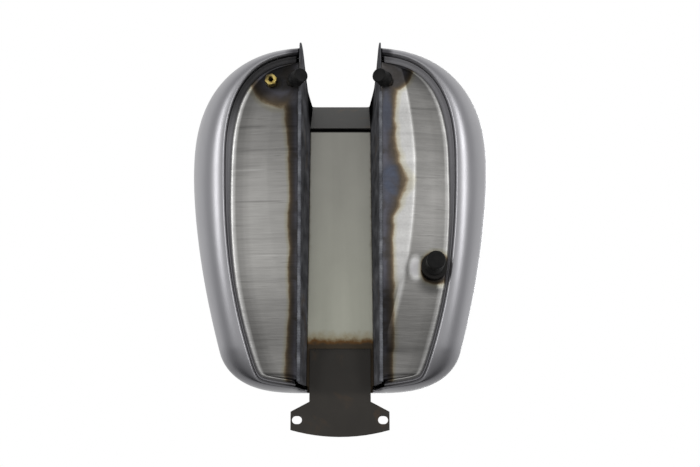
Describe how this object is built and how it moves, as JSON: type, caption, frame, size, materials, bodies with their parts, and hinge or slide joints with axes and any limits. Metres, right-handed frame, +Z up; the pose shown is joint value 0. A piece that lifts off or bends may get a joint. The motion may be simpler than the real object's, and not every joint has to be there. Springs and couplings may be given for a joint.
{
  "type": "motorcycle fuel tank",
  "caption": "Bare steel saddle fuel tank with paired lobes over a frame tunnel, bottom pans, capped fuel outlets, screw fillers and a flat rear bolt tab",
  "frame": {"origin": "midway between the two bolt slots, on the lower face of the rear tab", "axes": "+Z up as mounted, -Y towards the nose, +X to the rider's left"},
  "size_m": [0.4, 0.531, 0.2316],
  "materials": {
    "pressed_steel": "bare pressed sheet, satin",
    "ground_steel": "bare sheet ground across its width, heat tinted at the welds",
    "burnt_steel": "weld scale, blue black",
    "dark_steel": "hot-rolled plate with mill scale",
    "black_rubber": "moulded black rubber",
    "brass": "turned brass",
    "chrome": "bright plated"
  },
  "bodies": {
    "tank": {"left_shell": "pressed_steel", "right_shell": "pressed_steel", "left_pan": "ground_steel", "right_pan": "ground_steel", "left_tunnel_wall": "burnt_steel", "right_tunnel_wall": "burnt_steel", "tunnel_roof": "ground_steel", "neck_plate": "dark_steel", "rear_tab": "dark_steel", "left_tunnel_weld": "burnt_steel", "right_tunnel_weld": "burnt_steel", "tab_weld": "burnt_steel", "petcock_bung": "dark_steel", "left_crossover_stub": "dark_steel", "right_crossover_stub": "dark_steel", "vent_fitting": "brass", "vent_standpipe": "pressed_steel", "left_filler_neck": "pressed_steel", "right_filler_neck": "pressed_steel"},
    "petcock_plug": {"petcock_cap": "black_rubber"},
    "left_stub_plug": {"left_crossover_cap": "black_rubber"},
    "right_stub_plug": {"right_crossover_cap": "black_rubber"},
    "left_gasket": {"left_cap_gasket": "black_rubber"},
    "right_gasket": {"right_cap_gasket": "black_rubber"},
    "left_screw_cap": {"left_filler_cap": "chrome"},
    "right_screw_cap": {"right_filler_cap": "chrome"}
  },
  "joints": [
    {"name": "petcock_cap_pull", "type": "slide", "parent": "tank", "child": "petcock_plug", "axis": [0, 0, -1], "range_m": [0, 0.05]},
    {"name": "left_crossover_cap_pull", "type": "slide", "parent": "tank", "child": "left_stub_plug", "axis": [-0.4695, 0, -0.8829], "range_m": [0, 0.03]},
    {"name": "right_crossover_cap_pull", "type": "slide", "parent": "tank", "child": "right_stub_plug", "axis": [0.4695, 0, -0.8829], "range_m": [0, 0.03]},
    {"name": "left_cap_lift", "type": "slide", "parent": "tank", "child": "left_gasket", "axis": [0, 0, 1], "range_m": [0, 0.018]},
    {"name": "left_cap_turn", "type": "hinge", "parent": "left_gasket", "child": "left_screw_cap", "pos_m": [0.086, -0.335, 0.104], "axis": [0, 0, 1], "range_deg": [0, 1080]},
    {"name": "right_cap_lift", "type": "slide", "parent": "tank", "child": "right_gasket", "axis": [0, 0, 1], "range_m": [0, 0.018]},
    {"name": "right_cap_turn", "type": "hinge", "parent": "right_gasket", "child": "right_screw_cap", "pos_m": [-0.086, -0.335, 0.104], "axis": [0, 0, 1], "range_deg": [0, 1080]}
  ],
  "couplings": [
    {"joint": "left_cap_lift", "follows": "left_cap_turn", "m_per_rad": 0.00095493},
    {"joint": "right_cap_lift", "follows": "right_cap_turn", "m_per_rad": 0.00095493}
  ]
}
